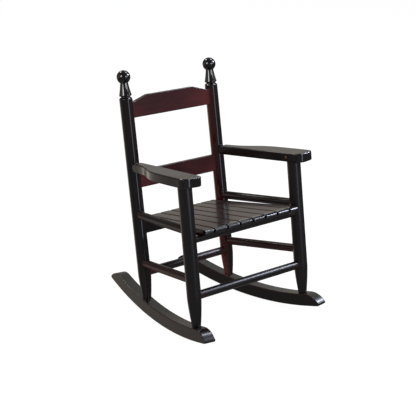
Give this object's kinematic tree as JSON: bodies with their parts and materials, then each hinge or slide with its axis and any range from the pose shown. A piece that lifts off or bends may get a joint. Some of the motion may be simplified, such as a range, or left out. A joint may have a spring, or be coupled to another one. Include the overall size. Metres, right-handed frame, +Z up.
{
  "type": "child rocking chair",
  "caption": "Child's rocking chair with turned ball-finial posts, round rungs, flat shaped arms, a tilted slatted seat and toed curved rockers, in dark lacquered wood.",
  "frame": {"origin": "on the floor, midway between the points where the two rockers touch it at rest; this is the bottom centre of the bounding box", "axes": "+Z up, the sitter faces -Y, +X is the sitter's left"},
  "size_m": [0.3956, 0.4404, 0.564],
  "materials": {
    "dark_lacquered_wood": "semi-gloss dark lacquer",
    "brass": "satin",
    "steel": "zinc plated"
  },
  "bodies": {
    "root": {"arm_pins": "brass", "crest_rail": "dark_lacquered_wood", "front_rung": "dark_lacquered_wood", "front_seat_rail": "dark_lacquered_wood", "left_arm": "dark_lacquered_wood", "left_back_post": "dark_lacquered_wood", "left_front_post": "dark_lacquered_wood", "left_lower_side_rung": "dark_lacquered_wood", "left_rocker": "dark_lacquered_wood", "left_upper_side_rung": "dark_lacquered_wood", "lower_back_slat": "dark_lacquered_wood", "rear_rung": "dark_lacquered_wood", "rear_seat_rail": "dark_lacquered_wood", "right_arm": "dark_lacquered_wood", "right_back_post": "dark_lacquered_wood", "right_front_post": "dark_lacquered_wood", "right_lower_side_rung": "dark_lacquered_wood", "right_rocker": "dark_lacquered_wood", "right_upper_side_rung": "dark_lacquered_wood", "rocker_screws": "steel", "seat_slat_1": "dark_lacquered_wood", "seat_slat_2": "dark_lacquered_wood", "seat_slat_3": "dark_lacquered_wood", "seat_slat_4": "dark_lacquered_wood", "seat_slat_5": "dark_lacquered_wood", "seat_slat_6": "dark_lacquered_wood", "seat_slat_7": "dark_lacquered_wood", "seat_slat_8": "dark_lacquered_wood", "slat_screws": "steel"}
  },
  "joints": []
}
